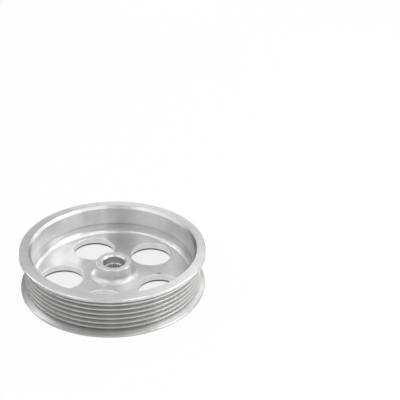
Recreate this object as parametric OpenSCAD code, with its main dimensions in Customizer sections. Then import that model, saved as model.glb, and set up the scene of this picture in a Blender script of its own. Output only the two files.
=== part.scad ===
// One-piece multi-groove belt pulley turned from aluminium bar.
// A flanged rim carries V grooves, a web with round lightening holes closes one end,
// and a short hub with a serrated bore stands inside the open cup.
// Sizes in millimetres. +Z runs along the bore axis, from the flat outer face to the open mouth.

/* [Rim] */
// Outside diameter of both belt flanges
flange_d = 132; // [128:0.5:150]
// Width of the flange edge at the open mouth
mouth_edge_w = 2.2; // [1:0.1:6]
// Width of the flange edge at the outer face
face_edge_w = 1.3; // [0.8:0.1:4]
// Chamfer on the outer corner at the mouth
mouth_edge_break = 0.5; // [0.2:0.05:0.7]
// Chamfer on the other three flange corners
edge_break = 0.3; // [0.1:0.05:0.5]

/* [Belt grooves] */
// Number of V grooves
groove_count = 7; // [4:1:10]
// Distance between groove centres
groove_pitch = 3.56; // [3.5:0.01:4]
// Included angle of each groove
groove_angle = 40; // [34:1:42]
// Diameter over the ribs between the grooves
rib_d = 125.6; // [122:0.1:126.5]
// Depth of a groove below the rib tops
groove_depth = 2.6; // [2:0.1:2.9]
// Radius at the bottom of a groove
groove_root_r = 0.4; // [0.2:0.05:0.5]
// Radius on the corners of a rib
rib_tip_r = 0.3; // [0.1:0.05:0.35]

/* [Cup] */
// Thickness of the rim wall behind the groove bottoms
rim_wall_t = 2.8; // [2:0.1:5]
// Chamfer round the inside of the mouth
mouth_chamfer = 1.8; // [0.5:0.1:2.5]
// Depth of the line round the cup wall, from the mouth
wall_line_depth = 15; // [6:0.5:18]
// How much deeper the wall is cut below that line
wall_line_step = 0.5; // [0.1:0.05:0.6]
// Fillet between the cup wall and the web
wall_fillet_r = 3.9; // [1:0.1:4.4]

/* [Web] */
// Thickness of the web
web_t = 5; // [3:0.1:8]
// Depth of the shallow recess in the outer face
face_recess = 1.3; // [0.3:0.1:2]
// Width of the flat land left round the recess
face_land_w = 7.4; // [4:0.1:10]
// Fillet in the corner of the recess
recess_fillet_r = 0.5; // [0.1:0.05:0.8]

/* [Lightening holes] */
// Number of holes
hole_count = 5; // [3:1:6]
// Hole diameter
hole_d = 30.8; // [10:0.2:31.4]
// Diameter of the circle through the hole centres
hole_circle_d = 74; // [72:0.5:78]
// Chamfer on both ends of each hole
hole_chamfer = 0.4; // [0.1:0.1:1]

/* [Hub] */
// Outside diameter of the hub
hub_d = 25.2; // [22:0.2:30]
// Height of the hub above the web
hub_h = 10.1; // [7.5:0.1:18]
// Chamfer round the hub's end
hub_chamfer = 0.5; // [0.2:0.1:1.2]
// Fillet between the hub and the web
hub_fillet_r = 5.5; // [1:0.5:6]

/* [Bore] */
// Diameter of the smooth pilot bore at the hub's end
pilot_d = 15.2; // [15.1:0.1:17]
// Depth from the hub's end to where the serrations have their full form
pilot_depth = 7.3; // [3:0.1:9]
// Chamfer at the mouth of the pilot bore
pilot_chamfer = 1.2; // [0.2:0.1:1.4]
// Number of serrations
serration_count = 36; // [24:1:36]
// Diameter over the bottoms of the serrations
serration_major_d = 14.9; // [14.5:0.1:15]
// Diameter inside the tips of the serrations
serration_minor_d = 13.7; // [13.5:0.1:14]
// Included angle of each serration space
serration_angle = 60; // [50:1:62]
// Width of the flat at the bottom of each serration space
serration_root_w = 0.24; // [0.1:0.02:0.3]
// Chamfer where the serrations meet the outer face
serration_chamfer = 0.9; // [0.3:0.1:1.2]

/* [Hidden] */

$fn = 144;
through = 1;
root_arc_steps = 6;
tip_arc_steps = 3;

flange_r = flange_d / 2;
rib_r = rib_d / 2;
groove_bottom_r = rib_r - groove_depth;
root_centre_r = groove_bottom_r + groove_root_r;
flank = groove_angle / 2;

// Half the width of a groove, measured along the axis at radius r
function groove_half_w(r) =
    groove_root_r * cos(flank) + (r - root_centre_r + groove_root_r * sin(flank)) * tan(flank);

outer_half_w = groove_half_w(flange_r);
height = mouth_edge_w + face_edge_w + 2 * outer_half_w + (groove_count - 1) * groove_pitch;

web_top = face_recess + web_t;
hub_top = web_top + hub_h;
hub_r = hub_d / 2;
pilot_r = pilot_d / 2;
major_r = serration_major_d / 2;
minor_r = serration_minor_d / 2;
// The pilot bore narrows to the serrations in a 45 degree cone
pilot_floor = hub_top - pilot_depth;
cone_top = pilot_floor + pilot_r - minor_r;
cup_r = groove_bottom_r - rim_wall_t;
lower_cup_r = cup_r + wall_line_step;
fillet_top = web_top + wall_fillet_r;
// The line never runs into the fillet at the foot of the wall
line_z = max(height - wall_line_depth, fillet_top + wall_line_step);
recess_r = flange_r - face_land_w;

// Height of the centre of groove i, counted from the mouth
function groove_z(i) = height - mouth_edge_w - outer_half_w - i * groove_pitch;

// Points on an arc of radius r about [x, z], from angle a to angle b
function arc(x, z, r, a, b, steps) =
    [for (k = [0 : steps]) let (t = a + (b - a) * k / steps) [x + r * cos(t), z + r * sin(t)]];

// Rounded bottom of groove i, from its upper flank to its lower one
function groove_root(i) =
    arc(root_centre_r, groove_z(i), groove_root_r, 90 + flank, 270 - flank, root_arc_steps);

// Rounded top of the rib that follows groove i
function rib_tip(i) =
    let (inset = groove_half_w(rib_r) + rib_tip_r * tan(45 - flank / 2))
    concat(
        arc(rib_r - rib_tip_r, groove_z(i) - inset, rib_tip_r, 90 - flank, 0, tip_arc_steps),
        arc(rib_r - rib_tip_r, groove_z(i + 1) + inset, rib_tip_r, 0, flank - 90, tip_arc_steps)
    );

// Outline of the belt face from the mouth down to the outer face.
// The first and last groove flanks run straight on to the flange edges.
belt_face = concat(
    [[flange_r - mouth_edge_break, height], [flange_r, height - mouth_edge_break]],
    [[flange_r, height - mouth_edge_w + edge_break]],
    [[flange_r - edge_break, height - mouth_edge_w - edge_break * tan(flank)]],
    [for (i = [0 : groove_count - 1])
        each concat(groove_root(i), i < groove_count - 1 ? rib_tip(i) : [])],
    [[flange_r - edge_break, face_edge_w + edge_break * tan(flank)]],
    [[flange_r, face_edge_w - edge_break], [flange_r, edge_break], [flange_r - edge_break, 0]]
);

// Solid half section between the axis and the belt face
module blank_section() {
    polygon(concat([[0, height]], belt_face, [[0, 0]]));
}

// Half section of the open cup round the hub
module cup_section() {
    difference() {
        polygon([
            [0, web_top], [lower_cup_r, web_top], [lower_cup_r, line_z - wall_line_step],
            [cup_r, line_z], [cup_r, height - mouth_chamfer],
            [cup_r + mouth_chamfer + through, height + through], [0, height + through]
        ]);
        hub_section();
        inside_corner([lower_cup_r, web_top], wall_fillet_r, [-1, 1]);
    }
}

// Half section of the hub with the fillet at its foot
module hub_section() {
    polygon([
        [0, web_top - through], [hub_r, web_top - through], [hub_r, hub_top - hub_chamfer],
        [hub_r - hub_chamfer, hub_top], [0, hub_top]
    ]);
    inside_corner([hub_r, web_top], hub_fillet_r, [1, 1]);
}

// Fillet of radius r that fills the corner at point p and opens towards the given side
module inside_corner(p, r, side) {
    translate(p)
        scale([side[0], side[1]])
            difference() {
                translate([-through, -through])
                    square(r + through);
                translate([r, r])
                    circle(r);
            }
}

// Half section of the shallow recess in the outer face
module recess_section() {
    difference() {
        translate([0, -through])
            square([recess_r, face_recess + through]);
        inside_corner([recess_r, face_recess], recess_fillet_r, [-1, -1]);
    }
}

// Half section of the bore: pilot, cone, serration tips and both mouth chamfers
module bore_section() {
    polygon([
        [0, face_recess - through], [minor_r + serration_chamfer + through, face_recess - through],
        [minor_r, face_recess + serration_chamfer], [minor_r, pilot_floor], [pilot_r, cone_top],
        [pilot_r, hub_top - pilot_chamfer], [pilot_r + pilot_chamfer + through, hub_top + through],
        [0, hub_top + through]
    ]);
}

// Everything that the lathe makes
module turned_body() {
    rotate_extrude()
        difference() {
            blank_section();
            cup_section();
            recess_section();
            bore_section();
        }
}

// Outline of the serration broach: one straight-sided space for each serration.
// Its inner points lie inside the bore, so that each tip keeps its round land.
module broach_outline() {
    inner_r = minor_r - through;
    root_half_w = serration_root_w / 2;
    inner_half_w = root_half_w + (major_r - inner_r) * tan(serration_angle / 2);
    for (i = [0 : serration_count - 1])
        rotate(i * 360 / serration_count)
            polygon([
                [inner_r, -inner_half_w], [major_r, -root_half_w],
                [major_r, root_half_w], [inner_r, inner_half_w]
            ]);
}

module serrations() {
    translate([0, 0, face_recess - through])
        linear_extrude(pilot_floor - face_recess + 2 * through)
            broach_outline();
}

// One lightening hole with a chamfer at each end
module lightening_hole() {
    hole_r = hole_d / 2;
    translate([0, 0, face_recess - through])
        cylinder(r = hole_r, h = web_t + 2 * through);
    translate([0, 0, face_recess - through])
        cylinder(r1 = hole_r + hole_chamfer + through, r2 = hole_r, h = hole_chamfer + through);
    translate([0, 0, web_top - hole_chamfer])
        cylinder(r1 = hole_r, r2 = hole_r + hole_chamfer + through, h = hole_chamfer + through);
}

module lightening_holes() {
    for (i = [0 : hole_count - 1])
        rotate(90 + i * 360 / hole_count)
            translate([hole_circle_d / 2, 0])
                lightening_hole();
}

module pulley() {
    color("silver")
        difference() {
            turned_body();
            serrations();
            lightening_holes();
        }
}

pulley();
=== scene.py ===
import math

import bmesh
import bpy
from mathutils import Matrix, Vector


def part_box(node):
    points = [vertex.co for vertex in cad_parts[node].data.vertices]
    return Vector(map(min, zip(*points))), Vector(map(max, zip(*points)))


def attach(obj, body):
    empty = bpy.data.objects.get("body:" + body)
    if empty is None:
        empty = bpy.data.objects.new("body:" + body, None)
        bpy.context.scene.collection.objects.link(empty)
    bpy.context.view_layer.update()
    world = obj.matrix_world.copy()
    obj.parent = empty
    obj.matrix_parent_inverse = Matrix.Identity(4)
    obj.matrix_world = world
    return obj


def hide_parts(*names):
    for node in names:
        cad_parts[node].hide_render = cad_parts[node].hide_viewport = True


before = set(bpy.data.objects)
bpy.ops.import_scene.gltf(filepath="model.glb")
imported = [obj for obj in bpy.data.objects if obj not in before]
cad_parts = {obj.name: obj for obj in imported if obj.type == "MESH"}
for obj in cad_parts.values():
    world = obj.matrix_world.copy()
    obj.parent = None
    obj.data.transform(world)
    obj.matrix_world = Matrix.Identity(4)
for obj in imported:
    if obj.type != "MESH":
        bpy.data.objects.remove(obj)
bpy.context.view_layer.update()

# Sizes of the turned pulley in millimetres. Radii are measured from the bore axis, heights from the outer
# face.
MM = 0.001
low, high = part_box("pulley")
flange_r = (high.x - low.x) / 2 / MM
height = (high.z - low.z) / MM
edge_break = 0.3
mouth_edge_w = 2.2
mouth_edge_break = 0.5
face_edge_w = 1.3

groove_count = 7
groove_pitch = 3.56
flank = math.radians(20)
rib_r = 62.8
groove_depth = 2.6
groove_root_r = 0.4
rib_tip_r = 0.3

cup_r = 57.4
mouth_chamfer = 1.8
wall_line_depth = 15
line_z = height - wall_line_depth
wall_line_step = 0.5
lower_cup_r = cup_r + wall_line_step
wall_fillet_r = 3.9

face_recess = 1.3
face_land_w = 7.4
recess_r = flange_r - face_land_w
recess_fillet_r = 0.5
web_t = 5
web_top = face_recess + web_t

hole_count = 5
hole_r = 15.4
hole_circle_r = 37
hole_chamfer = 0.4
first_hole = math.radians(90)

hub_r = 12.6
hub_h = 10.1
hub_top = web_top + hub_h
hub_chamfer = 0.5
hub_fillet_r = 5.5

pilot_r = 7.6
pilot_depth = 7.3
pilot_floor = hub_top - pilot_depth
pilot_chamfer = 1.2
serration_count = 36
serration_major_r = 7.45
serration_minor_r = 6.85
serration_half_angle = math.radians(30)
serration_root_w = 0.24
serration_chamfer = 0.9
# The pilot bore narrows to the serrations in a 45 degree cone
cone_top = pilot_floor + pilot_r - serration_minor_r

# How finely the lathe shapes are drawn
columns_per_serration = 10
columns = serration_count * columns_per_serration
hole_columns = 120
arc_step = math.radians(18)
# Corners that the lathe leaves sharp are rounded by this much, so that they catch the light
corner_r = 0.12
# Faces that meet at more than this angle keep a sharp edge
sharp_angle = math.radians(28)

# Tool rings. A real lathe tool leaves them about 0.1 mm apart, which is too fine to show here,
# so they are drawn as coarse as they need to be to show.
ring_pitch = 0.6
ring_depth = 0.012
groove_ring_depth = 0.008
ring_tone = 0.04
ring_roughness = 0.05
# Painted sheen that changes from one direction to the next: a streak's width at the rim, and how far its
# tone goes
streak_w = 8.25
streak_tone = 0.035
# Noise values run from about 0 to 1, with most of them between these two
noise_low, noise_high = 0.3, 0.7

# Tones of the places with painted shade, and of the nick, where 1 is the tone of the open metal
groove_tone = 0.9
line_tone = 0.82
serration_tone = 0.55
nick_tone = 0.55
# The groove tone blends out over this distance above the rib tops, on the flange flanks
groove_blend = 1
# The painted shade round the wall line is darkest this far below it, and reaches this far up and down
line_drop = 0.9
line_reach_up, line_reach_down = 2.2, 2
# What the shade of the serrations leaves light: at their tips and roots, and where it starts below the cone
tip_land, root_land = 0.1, 0.15
cone_start, cone_end = 0.02, 0.15
# The nick in the web: its middle, its half length along and across, its turn about the bore axis,
# and the share of it that is darkest
nick_place = (28.6 * MM, -14.8 * MM, web_top * MM)
nick_size = (2.8 * MM, 1.1 * MM, 1 * MM)
nick_turn = math.radians(23)
nick_core = 0.5

# The white floor, in metres, and the share of its light that is its own glow. As the camera sees it, it is
# a little darker where light only reaches it through the pulley.
floor_size = 6
floor_glow = 0.95
under_pulley_r = 56
light_under_pulley = 0.88
# Painted shade in the gap under the pulley's foot: how far the gap is looked for, and how open a dark and a
# clear place are
gap_reach = 6
gap_dark, gap_open = 0.15, 0.5
# As the metal sees the floor, its glow is painted light, brighter on the side of the strongest lamps and
# brightest where it runs up to the backdrop. Radii are in millimetres and 1 is as bright as the camera sees
# it.
floor_level_in_metal = 0.8
floor_level_change = 0.3
change_near_r, change_far_r = 58, 76
bright_side = math.radians(335)
backdrop_level_in_metal = 3.9
backdrop_near_r, backdrop_far_r = 150, 250

# The light dome, which the metal sees: its level, and the rise (as a sine) over which it comes up from dark
dome_level = 0.5
dome_dark, dome_full = 0.14, 0.5
# The softboxes, in metres
lamp_distance = 1.1
lamp_size = 0.45

# Node settings that several materials use: a step that comes on softly, and a product of two factors
soft_step = {"kind": "ShaderNodeMapRange", "interpolation_type": "SMOOTHSTEP"}
product = {"kind": "ShaderNodeMath", "operation": "MULTIPLY"}

# Finishes, which are the material slots of the pulley's mesh
FACED, WALL, LOWER_WALL, RIM, BELT, HOLE, BORE, HUB = range(8)


def sharp_groove_half_w(r):
    """Half the width of a groove at radius r, along the axis."""
    root_centre_r = rib_r - groove_depth + groove_root_r
    above_root = r - root_centre_r + groove_root_r * math.sin(flank)
    return groove_root_r * math.cos(flank) + above_root * math.tan(flank)


def groove_z(i):
    """Height of the centre of groove i, counted from the mouth."""
    return height - mouth_edge_w - sharp_groove_half_w(flange_r) - i * groove_pitch


def belt_corners():
    """Corners of the belt face, outer face to mouth: (radius, height, corner radius, finish)."""
    apex_r = rib_r - groove_depth + groove_root_r - groove_root_r / math.sin(flank)
    slope = edge_break * math.tan(flank)
    corners = [
        (flange_r - edge_break, 0, corner_r, BELT),
        (flange_r, edge_break, corner_r, BELT),
        (flange_r, face_edge_w - edge_break, corner_r, BELT),
        (flange_r - edge_break, face_edge_w + slope, corner_r, BELT),
    ]
    for i in reversed(range(groove_count)):
        corners.append((apex_r, groove_z(i), groove_root_r, BELT))
        if i > 0:
            corners.append((rib_r, groove_z(i) + sharp_groove_half_w(rib_r), rib_tip_r, BELT))
            corners.append((rib_r, groove_z(i - 1) - sharp_groove_half_w(rib_r), rib_tip_r, BELT))
    corners += [
        (flange_r - edge_break, height - mouth_edge_w - slope, corner_r, BELT),
        (flange_r, height - mouth_edge_w + edge_break, corner_r, BELT),
        (flange_r, height - mouth_edge_break, corner_r, RIM),
        (flange_r - mouth_edge_break, height, corner_r, RIM),
    ]
    return corners


def turned_corners():
    """Corners of the whole half section, from the outer face round to the top of the serrations."""
    return [
        (serration_minor_r + serration_chamfer, face_recess, corner_r, FACED),
        (recess_r, face_recess, recess_fillet_r, FACED),
        (recess_r, 0, corner_r, FACED),
    ] + belt_corners() + [
        (cup_r + mouth_chamfer, height, corner_r, RIM),
        (cup_r, height - mouth_chamfer, corner_r, WALL),
        (cup_r, line_z, 0, WALL),
        (lower_cup_r, line_z - wall_line_step, 0, LOWER_WALL),
        (lower_cup_r, web_top, wall_fillet_r, FACED),
        (hub_r, web_top, hub_fillet_r, HUB),
        (hub_r, hub_top - hub_chamfer, corner_r, FACED),
        (hub_r - hub_chamfer, hub_top, corner_r, FACED),
        (pilot_r + pilot_chamfer, hub_top, corner_r, FACED),
        (pilot_r, hub_top - pilot_chamfer, corner_r, BORE),
        (pilot_r, cone_top, corner_r, BORE),
    ]


def round_corner(before, corner, after, radius):
    """Points of the arc that rounds a corner, as (radius, height)."""
    a, b, c = Vector(before), Vector(corner), Vector(after)
    to_a, to_c = (a - b).normalized(), (c - b).normalized()
    opening = to_a.angle(to_c)
    reach = radius / math.tan(opening / 2)
    centre = b + (to_a + to_c).normalized() * radius / math.sin(opening / 2)
    start, end = b + to_a * reach - centre, b + to_c * reach - centre
    turn = math.pi - opening
    steps = max(2, math.ceil(turn / arc_step))
    side = 1 if start.x * end.y - start.y * end.x > 0 else -1
    return [centre + Matrix.Rotation(side * turn * k / steps, 2) @ start for k in range(steps + 1)]


def turned_section():
    """The half section with its corners rounded: (radius, height, finish) along the surface."""
    corners = turned_corners()
    section = []
    for i, (r, z, radius, finish) in enumerate(corners):
        if radius == 0 or i in (0, len(corners) - 1):
            section.append((r, z, finish))
            continue
        before, after = corners[i - 1][:2], corners[i + 1][:2]
        section += [(p.x, p.y, finish) for p in round_corner(before, (r, z), after, radius)]
    return section


def serration_columns():
    """Angle and radius of each column of the serrated bore, with the corners of every space on a column."""
    pitch = math.tau / serration_count
    root_half_w = serration_root_w / 2
    root_angle = math.atan2(root_half_w, serration_major_r)
    depth = serration_major_r - serration_minor_r
    tip_half_w = root_half_w + depth * math.tan(serration_half_angle)
    tip_angle = math.atan2(tip_half_w, serration_minor_r)
    mid_angle = (root_angle + tip_angle) / 2
    mid_r = (serration_major_r + serration_minor_r) / 2
    land_angle = (tip_angle + pitch / 2) / 2
    half = [(root_angle, serration_major_r), (mid_angle, mid_r), (tip_angle, serration_minor_r),
            (land_angle, serration_minor_r)]
    space = [(0, serration_major_r)] + half + [(pitch / 2, serration_minor_r)]
    space += [(pitch - angle, r) for angle, r in reversed(half)]
    return [(i * pitch + angle, r) for i in range(serration_count) for angle, r in space]


def lathe_mesh():
    """The turned and broached body as one closed mesh of quads, without the lightening holes."""
    bm = bmesh.new()
    section = turned_section()
    rows = []
    for r, z, finish in section:
        turns = [math.tau * k / columns for k in range(columns)]
        rows.append([bm.verts.new((r * math.cos(t), r * math.sin(t), z)) for t in turns])
    broached = serration_columns()
    cone_foot = pilot_floor - serration_minor_r
    runout = serration_minor_r + serration_chamfer + face_recess
    rows.append([bm.verts.new((r * math.cos(t), r * math.sin(t), cone_foot + r)) for t, r in broached])
    rows.append([bm.verts.new((r * math.cos(t), r * math.sin(t), runout - r)) for t, r in broached])
    finishes = [finish for r, z, finish in section] + [BORE, FACED]
    for i, row in enumerate(rows):
        after = rows[(i + 1) % len(rows)]
        for k in range(columns):
            j = (k + 1) % columns
            face = bm.faces.new((row[k], row[j], after[j], after[k]))
            face.material_index = finishes[i]
    bmesh.ops.recalc_face_normals(bm, faces=bm.faces)
    bmesh.ops.scale(bm, vec=(MM, MM, MM), verts=bm.verts)
    return bm


def hole_cutter():
    """One closed plug for each lightening hole, flared at both faces of the web."""
    bm = bmesh.new()
    over = 1
    flare = hole_r + hole_chamfer + over
    section = [
        (flare, face_recess - over), (hole_r, face_recess + hole_chamfer),
        (hole_r, web_top - hole_chamfer), (flare, web_top + over),
    ]
    for i in range(hole_count):
        at = first_hole + math.tau * i / hole_count
        cx, cy = hole_circle_r * math.cos(at), hole_circle_r * math.sin(at)
        rows = []
        for r, z in section:
            turns = [math.tau * k / hole_columns for k in range(hole_columns)]
            rows.append([bm.verts.new((cx + r * math.cos(t), cy + r * math.sin(t), z)) for t in turns])
        for row, after in zip(rows, rows[1:]):
            for k in range(hole_columns):
                j = (k + 1) % hole_columns
                bm.faces.new((row[k], row[j], after[j], after[k]))
        bm.faces.new(rows[0])
        bm.faces.new(rows[-1])
    for face in bm.faces:
        face.material_index = HOLE
    bmesh.ops.recalc_face_normals(bm, faces=bm.faces)
    bmesh.ops.scale(bm, vec=(MM, MM, MM), verts=bm.verts)
    return bm


def new_object(name, bm, materials):
    mesh = bpy.data.meshes.new(name)
    bm.to_mesh(mesh)
    bm.free()
    for material in materials:
        mesh.materials.append(material)
    obj = bpy.data.objects.new(name, mesh)
    bpy.context.scene.collection.objects.link(obj)
    return obj


def apply_modifiers(obj):
    """Turns what the modifiers make into the object's own mesh."""
    bpy.context.view_layer.update()
    graph = bpy.context.evaluated_depsgraph_get()
    mesh = bpy.data.meshes.new_from_object(obj.evaluated_get(graph), depsgraph=graph)
    obj.modifiers.clear()
    obj.data = mesh


def build_pulley(materials):
    pulley = new_object("turned_pulley", lathe_mesh(), materials)
    plugs = new_object("hole_plugs", hole_cutter(), materials)
    cut = pulley.modifiers.new("lightening holes", "BOOLEAN")
    cut.operation = "DIFFERENCE"
    cut.solver = "EXACT"
    cut.object = plugs
    apply_modifiers(pulley)
    bpy.data.objects.remove(plugs)
    for face in pulley.data.polygons:
        face.use_smooth = True
    pulley.data.set_sharp_from_angle(angle=sharp_angle)
    weighted = pulley.modifiers.new("flat faces keep flat normals", "WEIGHTED_NORMAL")
    weighted.keep_sharp = True
    weighted.weight = 100
    apply_modifiers(pulley)
    return pulley


def linear(code):
    """An sRGB hex colour as the linear RGBA that a shader takes."""
    channels = [int(code[i:i + 2], 16) / 255 for i in (1, 3, 5)]
    return [c / 12.92 if c <= 0.04045 else ((c + 0.055) / 1.055) ** 2.4 for c in channels] + [1]


def add_node(tree, kind, links=(), inputs=(), **settings):
    """Adds a shader node, sets its properties and input values, and links other outputs into it."""
    node = tree.nodes.new(kind)
    for key, value in settings.items():
        setattr(node, key, value)
    for key, value in dict(inputs).items():
        node.inputs[key].default_value = value
    for key, output in dict(links).items():
        tree.links.new(output, node.inputs[key])
    return node


def new_material(name):
    material = bpy.data.materials.new(name)
    material.use_nodes = True
    material.node_tree.nodes.clear()
    return material


def groove_shade(tree, place, radius, z):
    """Painted shade in the belt grooves, which lie in each other's shade: they are a little darker than the
    rib tops.
    """
    return add_node(
        tree, **soft_step, links={"Value": radius},
        inputs={"From Min": rib_r * MM, "From Max": (rib_r + groove_blend) * MM,
                "To Min": groove_tone, "To Max": 1}).outputs[0]


def line_shade(tree, place, radius, z):
    """Painted shade in the corner under the line round the cup wall. The tone sinks to it and comes back
    just below.
    """
    darkest = (line_z - line_drop) * MM
    above = add_node(tree, **soft_step, links={"Value": z},
                     inputs={"From Min": darkest, "From Max": (line_z + line_reach_up) * MM,
                             "To Min": 1, "To Max": 0})
    below = add_node(tree, **soft_step, links={"Value": z},
                     inputs={"From Min": (line_z - line_reach_down) * MM, "From Max": darkest})
    both = add_node(tree, **product, links={0: above.outputs[0], 1: below.outputs[0]})
    return add_node(tree, **soft_step, links={"Value": both.outputs[0]},
                    inputs={"To Min": 1, "To Max": line_tone}).outputs[0]


def serration_shade(tree, place, radius, z):
    """Painted shade in the spaces of the serrations, below the cone, so that each tip shows as a light tick.
    """
    deep = add_node(tree, **soft_step, links={"Value": radius},
                    inputs={"From Min": (serration_minor_r + tip_land) * MM,
                            "From Max": (serration_major_r - root_land) * MM})
    # Radius less height is the same all over the 45 degree cone, and grows in the spaces below it
    drop = add_node(tree, "ShaderNodeMath", operation="SUBTRACT", links={0: radius, 1: z})
    cone = serration_minor_r - pilot_floor
    below = add_node(tree, **soft_step, links={"Value": drop.outputs[0]},
                     inputs={"From Min": (cone + cone_start) * MM, "From Max": (cone + cone_end) * MM})
    both = add_node(tree, **product, links={0: deep.outputs[0], 1: below.outputs[0]})
    return add_node(tree, **soft_step, links={"Value": both.outputs[0]},
                    inputs={"To Min": 1, "To Max": serration_tone}).outputs[0]


def nick_shade(tree, place, radius, z):
    """A short dark nick in the web, as the photo shows it between the hub and the right-hand holes."""
    shifted = add_node(tree, "ShaderNodeVectorMath", operation="SUBTRACT", links={0: place},
                       inputs={1: nick_place})
    turned = add_node(tree, "ShaderNodeVectorRotate", rotation_type="Z_AXIS",
                      links={"Vector": shifted.outputs[0]}, inputs={"Angle": nick_turn})
    scaled = add_node(tree, "ShaderNodeVectorMath", operation="DIVIDE", links={0: turned.outputs[0]},
                      inputs={1: nick_size})
    away = add_node(tree, "ShaderNodeVectorMath", operation="LENGTH", links={0: scaled.outputs[0]})
    return add_node(tree, **soft_step, links={"Value": away.outputs["Value"]},
                    inputs={"From Min": nick_core, "To Min": nick_tone, "To Max": 1}).outputs[0]


def turned_aluminium(name, colour, roughness, anisotropy, depth=ring_depth, shades=()):
    """Bare aluminium with the rings that a lathe tool leaves, which draw a highlight out across them."""
    material = new_material(name)
    tree = material.node_tree
    place = add_node(tree, "ShaderNodeTexCoord").outputs["Object"]
    split = add_node(tree, "ShaderNodeSeparateXYZ", links={0: place})
    z = split.outputs[2]
    level = add_node(tree, "ShaderNodeCombineXYZ", links={0: split.outputs[0], 1: split.outputs[1]})
    flat = level.outputs[0]
    radius = add_node(tree, "ShaderNodeVectorMath", operation="LENGTH", links={0: flat}).outputs["Value"]

    along_section = add_node(tree, "ShaderNodeCombineXYZ", links={0: radius, 1: z})
    rings = add_node(tree, "ShaderNodeTexNoise", noise_dimensions="2D",
                     links={"Vector": along_section.outputs[0]},
                     inputs={"Scale": 1 / (ring_pitch * MM), "Detail": 2, "Roughness": 0.6}).outputs[0]
    bump = add_node(tree, "ShaderNodeBump", links={"Height": rings},
                    inputs={"Distance": depth * MM, "Strength": 1})
    rough = add_node(tree, "ShaderNodeMapRange", links={"Value": rings},
                     inputs={"From Min": noise_low, "From Max": noise_high,
                             "To Min": roughness - ring_roughness, "To Max": roughness + ring_roughness})
    ringed = add_node(tree, "ShaderNodeMapRange", links={"Value": rings},
                      inputs={"From Min": noise_low, "From Max": noise_high,
                              "To Min": 1 - ring_tone, "To Max": 1 + ring_tone})

    # Painted sheen: the tone rises and falls in streaks from one direction round the axis to the next
    direction = add_node(tree, "ShaderNodeVectorMath", operation="NORMALIZE", links={0: flat})
    streaks = add_node(tree, "ShaderNodeTexNoise", noise_dimensions="2D",
                       links={"Vector": direction.outputs[0]},
                       inputs={"Scale": flange_r / streak_w, "Detail": 4, "Roughness": 0.6})
    streak_sheen = add_node(tree, **soft_step, links={"Value": streaks.outputs[0]},
                        inputs={"From Min": noise_low, "From Max": noise_high,
                                "To Min": 1 - streak_tone, "To Max": 1 + streak_tone})

    tone = ringed.outputs[0]
    for factor in [streak_sheen.outputs[0]] + [shade(tree, place, radius, z) for shade in shades]:
        tone = add_node(tree, **product, links={0: tone, 1: factor}).outputs[0]
    shaded = add_node(tree, "ShaderNodeVectorMath", operation="SCALE", inputs={0: linear(colour)[:3]},
                      links={"Scale": tone})
    tangent = add_node(tree, "ShaderNodeTangent", direction_type="RADIAL", axis="Z")
    metal = add_node(
        tree, "ShaderNodeBsdfPrincipled",
        inputs={"Metallic": 1, "Anisotropic": anisotropy, "Anisotropic Rotation": 0.25},
        links={"Base Color": shaded.outputs[0], "Tangent": tangent.outputs[0], "Normal": bump.outputs[0],
               "Roughness": rough.outputs[0]})
    add_node(tree, "ShaderNodeOutputMaterial", links={"Surface": metal.outputs[0]})
    return material


materials = [
    # Faced with a fine feed: a silver sheen that sweeps round the web in broad soft wedges
    turned_aluminium("face_turned_aluminium", "#E4E4E4", 0.36, 0.5, shades=[nick_shade]),
    # Bored smooth: light runs up and down the wall in tall streaks
    turned_aluminium("bored_aluminium", "#E0E0E0", 0.32, 0.65, shades=[line_shade]),
    # Bored in a second, rougher cut: the same streaks, a shade darker
    turned_aluminium("rough_bored_aluminium", "#D7D7D7", 0.32, 0.65, shades=[line_shade]),
    # Turned rim: the lightest of the turned faces, with a bright line along each broken edge
    turned_aluminium("rim_turned_aluminium", "#E5E5E5", 0.36, 0.5),
    # Formed with a groove tool: slightly duller and warmer, with painted shade in the grooves so that the
    # ribs stand out as light lines
    turned_aluminium("grooved_aluminium", "#D1D1D0", 0.38, 0.4, groove_ring_depth, [groove_shade]),
    # Milled holes: a matt wall with no sweep of light round it
    turned_aluminium("milled_hole_aluminium", "#E9E9E9", 0.42, 0.0),
    # Broached bore: dark and slightly warm, with painted shade in the spaces that leaves light ticks on the
    # serration tips
    turned_aluminium("broached_aluminium", "#DBDBDA", 0.38, 0.0, shades=[serration_shade]),
    # Hub foot, turned with a form tool: a wide soft glow round the fillet and no sharp glint
    turned_aluminium("hub_turned_aluminium", "#E0E0E0", 0.42, 0.2),
]
pulley = build_pulley(materials)
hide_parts("pulley")
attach(pulley, "root")


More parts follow.
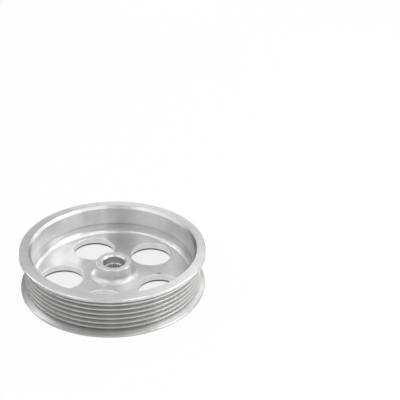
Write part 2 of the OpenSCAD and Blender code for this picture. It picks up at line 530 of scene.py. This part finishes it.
def floor_level(tree, is_camera):
    """How bright the floor is: one level for the camera, and another that the metal reflects."""
    place = add_node(tree, "ShaderNodeTexCoord").outputs["Object"]
    length = add_node(tree, "ShaderNodeVectorMath", operation="LENGTH", links={0: place})
    from_axis = length.outputs["Value"]
    direction = add_node(tree, "ShaderNodeVectorMath", operation="NORMALIZE", links={0: place})
    towards = add_node(tree, "ShaderNodeVectorMath", operation="DOT_PRODUCT",
                       links={0: direction.outputs[0]},
                       inputs={1: (math.cos(bright_side), math.sin(bright_side), 0)})
    change = add_node(tree, **soft_step, links={"Value": from_axis},
                      inputs={"From Min": change_near_r * MM, "From Max": change_far_r * MM,
                              "To Max": floor_level_change})
    near = add_node(tree, "ShaderNodeMath", operation="MULTIPLY_ADD", inputs={2: floor_level_in_metal},
                    links={0: towards.outputs["Value"], 1: change.outputs[0]})
    in_metal = add_node(tree, "ShaderNodeMapRange", links={"Value": from_axis, "To Min": near.outputs[0]},
                        inputs={"From Min": backdrop_near_r * MM, "From Max": backdrop_far_r * MM,
                                "To Max": backdrop_level_in_metal})
    to_camera = add_node(tree, **soft_step, links={"Value": from_axis},
                         inputs={"From Min": under_pulley_r * MM, "From Max": flange_r * MM,
                                 "To Min": light_under_pulley, "To Max": 1})
    level = add_node(tree, "ShaderNodeMapRange",
                     links={"Value": is_camera, "To Min": in_metal.outputs[0],
                            "To Max": to_camera.outputs[0]})
    return level.outputs[0]


def add_floor():
    """White paper that glows to the camera and the metal, with painted shade in the gap under the pulley's
    foot.
    """
    bpy.ops.mesh.primitive_plane_add(size=floor_size)
    floor = bpy.context.object
    floor.name = "floor"
    material = new_material("white_paper_floor")
    tree = material.node_tree
    path = add_node(tree, "ShaderNodeLightPath")
    seen = add_node(tree, "ShaderNodeMath", operation="MAXIMUM",
                    links={0: path.outputs["Is Camera Ray"], 1: path.outputs["Is Glossy Ray"]})
    share = add_node(tree, **product, links={0: seen.outputs[0]}, inputs={1: floor_glow})
    # Painted shade: the floor's glow dims where the pulley's foot closes in over it
    gap = add_node(tree, "ShaderNodeAmbientOcclusion", samples=16, inputs={"Distance": gap_reach * MM})
    open_air = add_node(tree, **soft_step, links={"Value": gap.outputs["AO"]},
                        inputs={"From Min": gap_dark, "From Max": gap_open})
    level = floor_level(tree, path.outputs["Is Camera Ray"])
    strength = add_node(tree, **product, links={0: open_air.outputs[0], 1: level})
    paper = add_node(tree, "ShaderNodeBsdfDiffuse", inputs={"Color": linear("#F4F4F4")})
    glow = add_node(tree, "ShaderNodeEmission", inputs={"Color": linear("#FFFFFF")},
                    links={"Strength": strength.outputs[0]})
    mixed = add_node(tree, "ShaderNodeMixShader",
                     links={0: share.outputs[0], 1: paper.outputs[0], 2: glow.outputs[0]})
    add_node(tree, "ShaderNodeOutputMaterial", links={"Surface": mixed.outputs[0]})
    floor.data.materials.append(material)


def add_world():
    """A white studio: the camera sees plain white, and the metal sees a dome that is dark near the floor."""
    world = bpy.data.worlds.new("studio")
    world.use_nodes = True
    tree = world.node_tree
    tree.nodes.clear()
    path = add_node(tree, "ShaderNodeLightPath")
    place = add_node(tree, "ShaderNodeTexCoord")
    split = add_node(tree, "ShaderNodeSeparateXYZ", links={0: place.outputs["Generated"]})
    rise = add_node(tree, **soft_step, links={"Value": split.outputs[2]},
                    inputs={"From Min": dome_dark, "From Max": dome_full, "To Max": dome_level})
    room = add_node(tree, "ShaderNodeBackground", inputs={"Color": linear("#FFFFFF")},
                    links={"Strength": rise.outputs[0]})
    white = add_node(tree, "ShaderNodeBackground", inputs={"Color": linear("#FFFFFF"), "Strength": 1})
    mixed = add_node(tree, "ShaderNodeMixShader",
                     links={0: path.outputs["Is Camera Ray"], 1: room.outputs[0], 2: white.outputs[0]})
    add_node(tree, "ShaderNodeOutputWorld", links={"Surface": mixed.outputs[0]})
    bpy.context.scene.world = world


def add_softbox(name, azimuth, elevation, power):
    """A round softbox turned to the pulley. Azimuth and elevation are seen from the pulley, in degrees."""
    turn, rise = math.radians(azimuth), math.radians(elevation)
    away = Vector((math.cos(rise) * math.cos(turn), math.cos(rise) * math.sin(turn), math.sin(rise)))
    lamp = bpy.data.lights.new(name, "AREA")
    lamp.shape = "DISK"
    lamp.size = lamp_size
    lamp.energy = power
    obj = bpy.data.objects.new(name, lamp)
    obj.location = away * lamp_distance
    obj.rotation_euler = (-away).to_track_quat("-Z", "Y").to_euler()
    bpy.context.scene.collection.objects.link(obj)


def add_camera():
    """The camera looks past the pulley's right side, so that it stands at the lower left of the picture."""
    place = Vector((-0.1788, -0.4172, 0.3105))
    aim = Vector((0.0891, 0.0331, height * MM))
    roll = math.radians(2.65)
    camera = bpy.data.cameras.new("camera")
    camera.lens = 67.2
    camera.sensor_width = 36
    obj = bpy.data.objects.new("camera", camera)
    turn = (aim - place).to_track_quat("-Z", "Y").to_matrix() @ Matrix.Rotation(roll, 3, "Z")
    obj.matrix_world = Matrix.Translation(place) @ turn.to_4x4()
    bpy.context.scene.collection.objects.link(obj)
    bpy.context.scene.camera = obj


add_floor()
add_world()
# Softboxes round the pulley: name, azimuth, elevation and power in watts
softboxes = [
    ("right_low", 336, 25, 1.5),
    ("right_front_low", 308, 14, 3.8),
    ("right", 0, 42, 0.7),
    ("right_high", 340, 60, 1.1),
    ("behind_right_low", 24, 25, 0.75),
    ("behind_right", 44, 43, 0.45),
    ("behind_low", 64, 14, 0.8),
    ("behind_left_high", 116, 52, 0.9),
    ("behind_left_low", 148, 15, 1.3),
    ("left", 166, 42, 0.5),
    ("left_front", 196, 50, 0.9),
    ("front", 272, 44, 1.1),
    ("above", 315, 80, 0.6),
]
for name, azimuth, elevation, power in softboxes:
    add_softbox("softbox_" + name, azimuth, elevation, power)
add_camera()
bpy.context.scene.view_settings.view_transform = "Standard"
